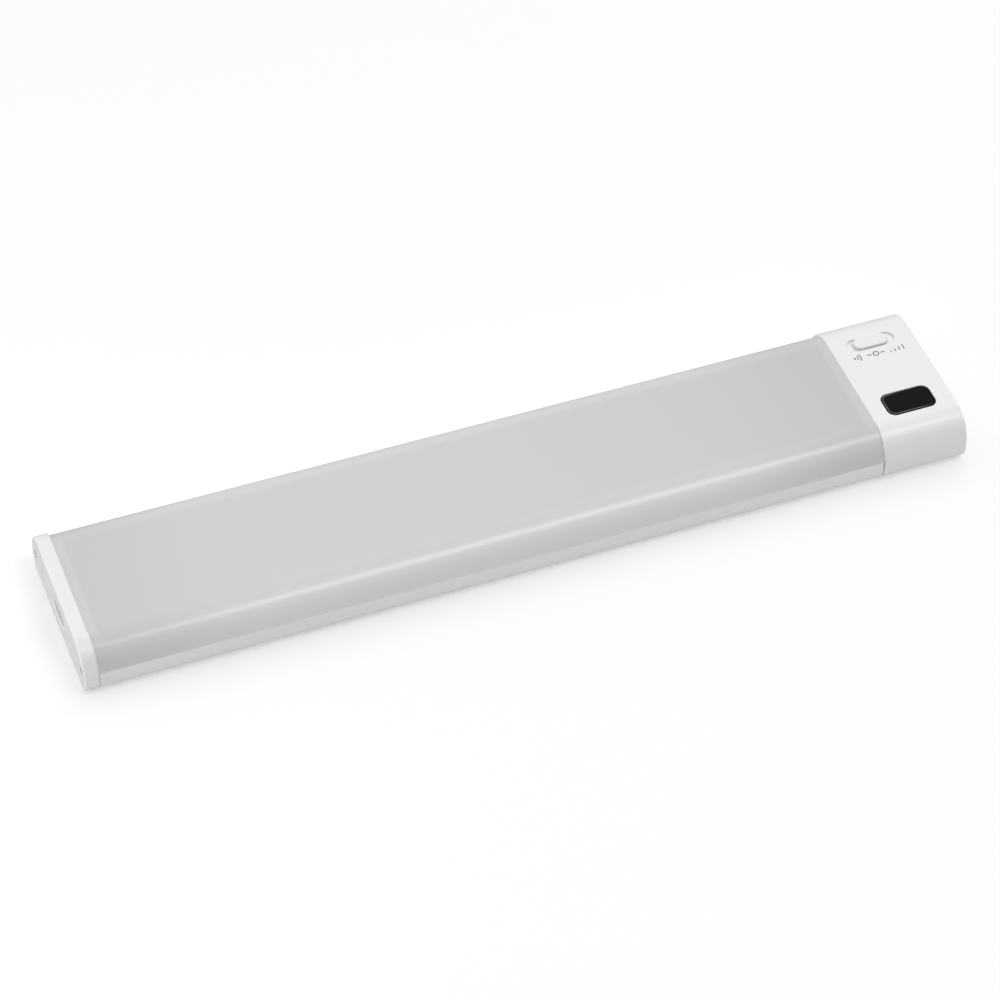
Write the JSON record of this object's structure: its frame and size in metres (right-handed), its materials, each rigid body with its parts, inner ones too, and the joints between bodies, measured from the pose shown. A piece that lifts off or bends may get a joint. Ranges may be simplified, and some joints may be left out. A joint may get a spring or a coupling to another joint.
{
  "type": "led light tube",
  "caption": "Flat rechargeable LED light bar with a milky cover, a USB-C end cap and a control cap with a three-position slide switch and a dark sensor window.",
  "frame": {"origin": "middle of the flat back, on the surface that the light lies on or is fixed to", "axes": "+X along the light from the USB end to the control end, +Y across it towards the switch side, +Z out of the milky cover"},
  "size_m": [0.2, 0.04, 0.0125],
  "materials": {
    "white_shell": "satin moulded ABS",
    "milky_cover": "satin milky polycarbonate",
    "white_knob": "satin moulded ABS",
    "smoked_window": "gloss smoked acrylic",
    "screw_steel": "plated steel",
    "nickel": "satin nickel plating",
    "white_board": "white solder mask",
    "led_package": "phosphor resin",
    "green_board": "green solder mask",
    "black_plastic": "matt moulded",
    "foam_tape": "foam tape",
    "battery_foil": "laminated foil pouch",
    "phenolic": "phenolic sheet",
    "copper": "plated contact",
    "clear_epoxy": "clear epoxy",
    "connector_white": "natural nylon",
    "red_insulation": "PVC insulation",
    "black_insulation": "PVC insulation"
  },
  "bodies": {
    "housing": {"base_tray": "white_shell", "diffuser": "milky_cover", "usb_end_cap": "white_shell", "control_cap": "white_shell", "usb_cap_screws": "screw_steel", "control_cap_screws": "screw_steel", "magnets": "nickel", "led_board": "white_board", "led_chips": "led_package", "led_resistors": "black_plastic", "battery_tape": "foam_tape", "battery_cell": "battery_foil", "battery_protection_board": "green_board", "charge_board": "green_board", "charger_chip": "black_plastic", "charge_inductor": "black_plastic", "usb_shell": "nickel", "usb_tongue": "black_plastic", "control_board": "green_board", "control_board_screws": "screw_steel", "switch_case": "nickel", "switch_base": "phenolic", "switch_terminals": "nickel", "sensor_window": "smoked_window", "sensor_shroud": "black_plastic", "ir_emitter": "clear_epoxy", "ir_receiver": "black_plastic", "wifi_board": "green_board", "wifi_chip": "black_plastic", "wifi_shield": "nickel", "controller_chip": "black_plastic", "supply_socket": "connector_white", "supply_plug": "connector_white", "battery_lead_red": "red_insulation", "battery_lead_black": "black_insulation", "supply_lead_red": "red_insulation", "supply_lead_black": "black_insulation", "led_lead_red": "red_insulation", "led_lead_black": "black_insulation"},
    "slider": {"switch_knob": "white_knob", "switch_actuator": "black_plastic", "switch_wiper": "copper"}
  },
  "joints": [
    {"name": "switch_slide", "type": "slide", "parent": "housing", "child": "slider", "axis": [1, 0, 0], "range_m": [-0.0015, 0.0015]}
  ]
}
